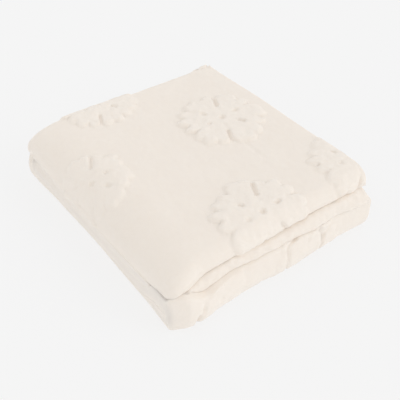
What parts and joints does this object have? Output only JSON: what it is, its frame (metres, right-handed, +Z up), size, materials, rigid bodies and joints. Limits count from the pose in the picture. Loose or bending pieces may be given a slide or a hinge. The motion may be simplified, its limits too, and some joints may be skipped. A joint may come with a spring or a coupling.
{
  "type": "folded throw",
  "caption": "Thick plush throw with raised snowflake motifs, folded in half several times into a flat square pack with round folds at its left side, front and back.",
  "frame": {"origin": "middle of the pack's footprint, on the surface it lies on", "axes": "+X from the closed left side to the open right side, +Y from the front to the back, +Z up"},
  "size_m": [0.329, 0.3892, 0.0975],
  "materials": {
    "plush": "soft cream plush, matt, with a taller pile on the motifs"
  },
  "bodies": {
    "root": {"throw_cloth": "plush"}
  },
  "joints": []
}
